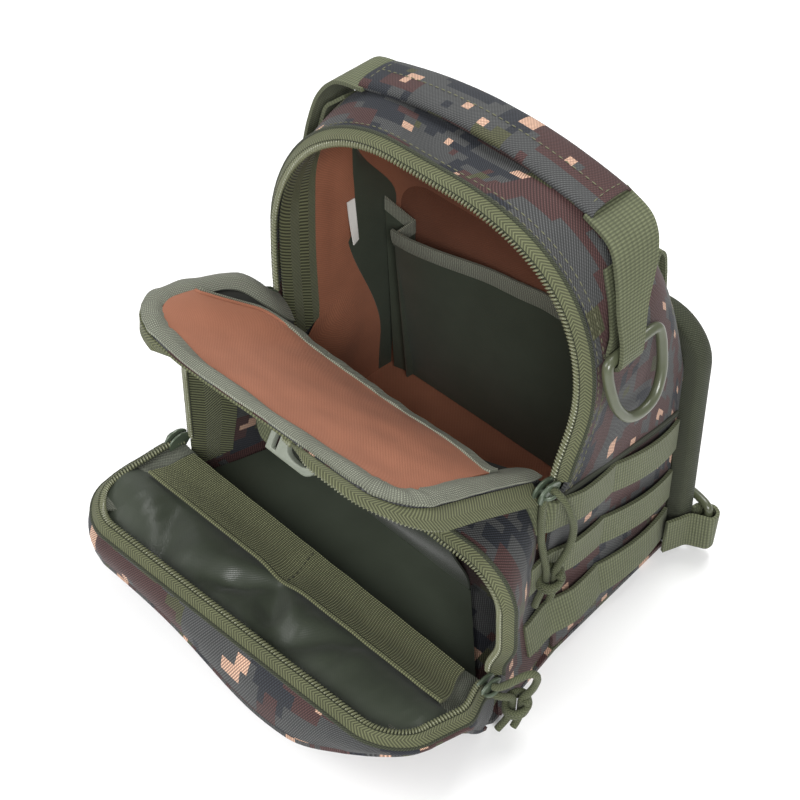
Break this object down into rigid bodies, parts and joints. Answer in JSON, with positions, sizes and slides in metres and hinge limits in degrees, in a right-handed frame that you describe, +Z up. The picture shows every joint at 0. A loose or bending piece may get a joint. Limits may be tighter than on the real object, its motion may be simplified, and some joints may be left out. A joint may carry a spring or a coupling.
{
  "type": "chest bag",
  "caption": "Small camouflage chest bag standing open, with an arched main compartment, a front pocket whose lid hangs as a tray, a top handle and webbing down its sides.",
  "frame": {"origin": "on the underside of the base, midway between the sides, below the main compartment's zip", "axes": "+X to the right seen from the front, +Y towards the padded back, +Z up"},
  "size_m": [0.2191, 0.2116, 0.2065],
  "materials": {
    "printed_cloth": "woven nylon with a block camouflage print",
    "olive_webbing": "ribbed webbing",
    "olive_tape": "woven tape and coil zip",
    "terracotta": "woven lining",
    "coated_green": "coated cloth with a soft shine",
    "grey_binding": "grosgrain binding",
    "olive_plastic": "gloss",
    "pale_plastic": "satin",
    "painted_metal": "worn paint",
    "olive_cord": "braided cord",
    "white_label": "plain woven label",
    "padding": "padded mesh"
  },
  "bodies": {
    "bag": {"main_gusset": "printed_cloth", "side_lining": "terracotta", "base_panel": "printed_cloth", "front_wall": "printed_cloth", "back_binding": "olive_tape", "back_panel": "padding", "top_loop_right": "olive_webbing", "top_loop_left": "olive_webbing", "back_lining": "terracotta", "slip_pocket": "coated_green", "slip_binding": "grey_binding", "slip_pleat": "coated_green", "side_sleeve": "coated_green", "label": "white_label", "main_flap": "printed_cloth", "flap_binding": "grey_binding", "flap_lining": "terracotta", "flap_lining_binding": "grey_binding", "main_zip_flap": "olive_tape", "main_zip_body": "olive_tape", "pocket_gusset": "printed_cloth", "pocket_zip_body": "olive_tape", "pocket_sleeve": "coated_green", "pocket_sleeve_binding": "grey_binding", "key_hook": "pale_plastic", "key_strap": "olive_webbing", "lid_gusset": "printed_cloth", "lid_lining": "grey_binding", "pocket_zip_lid": "olive_tape", "lid_face": "printed_cloth", "lid_pouch": "coated_green", "lid_elastic": "olive_webbing", "handle_grip": "printed_cloth", "handle_web_right": "olive_webbing", "handle_web_left": "olive_webbing", "side_web_right_1": "olive_webbing", "side_web_right_2": "olive_webbing", "side_web_right_3": "olive_webbing", "side_web_left_1": "olive_webbing", "side_web_left_2": "olive_webbing", "side_web_left_3": "olive_webbing", "corner_loop_right": "olive_webbing", "corner_loop_left": "olive_webbing", "main_slider_right": "painted_metal", "main_slider_left": "painted_metal", "pocket_slider_right": "painted_metal", "pocket_slider_left": "painted_metal", "main_pull_inner": "olive_cord", "main_pull_outer": "olive_cord", "main_pull_knot": "olive_cord", "pocket_pull_inner": "olive_cord", "pocket_pull_outer": "olive_cord", "pocket_pull_knot": "olive_cord"},
    "handle_ring_right": {"ring_right": "olive_plastic"},
    "handle_ring_left": {"ring_left": "olive_plastic"},
    "strap_ring_right": {"corner_ring_right": "olive_plastic"},
    "strap_ring_left": {"corner_ring_left": "olive_plastic"}
  },
  "joints": [
    {"name": "handle_ring_right_swing", "type": "hinge", "parent": "bag", "child": "handle_ring_right", "pos_m": [0.0888, 0.029, 0.159], "axis": [0, 1, 0], "range_deg": [-100, 12]},
    {"name": "handle_ring_left_swing", "type": "hinge", "parent": "bag", "child": "handle_ring_left", "pos_m": [-0.0888, 0.043, 0.1496], "axis": [0, 1, 0], "range_deg": [-12, 100]},
    {"name": "strap_ring_right_swing", "type": "hinge", "parent": "bag", "child": "strap_ring_right", "pos_m": [0.103, 0.088, 0.0172], "axis": [0, 0, 1], "range_deg": [-130, 0]},
    {"name": "strap_ring_left_swing", "type": "hinge", "parent": "bag", "child": "strap_ring_left", "pos_m": [-0.103, 0.088, 0.0172], "axis": [0, 0, 1], "range_deg": [0, 130]}
  ]
}
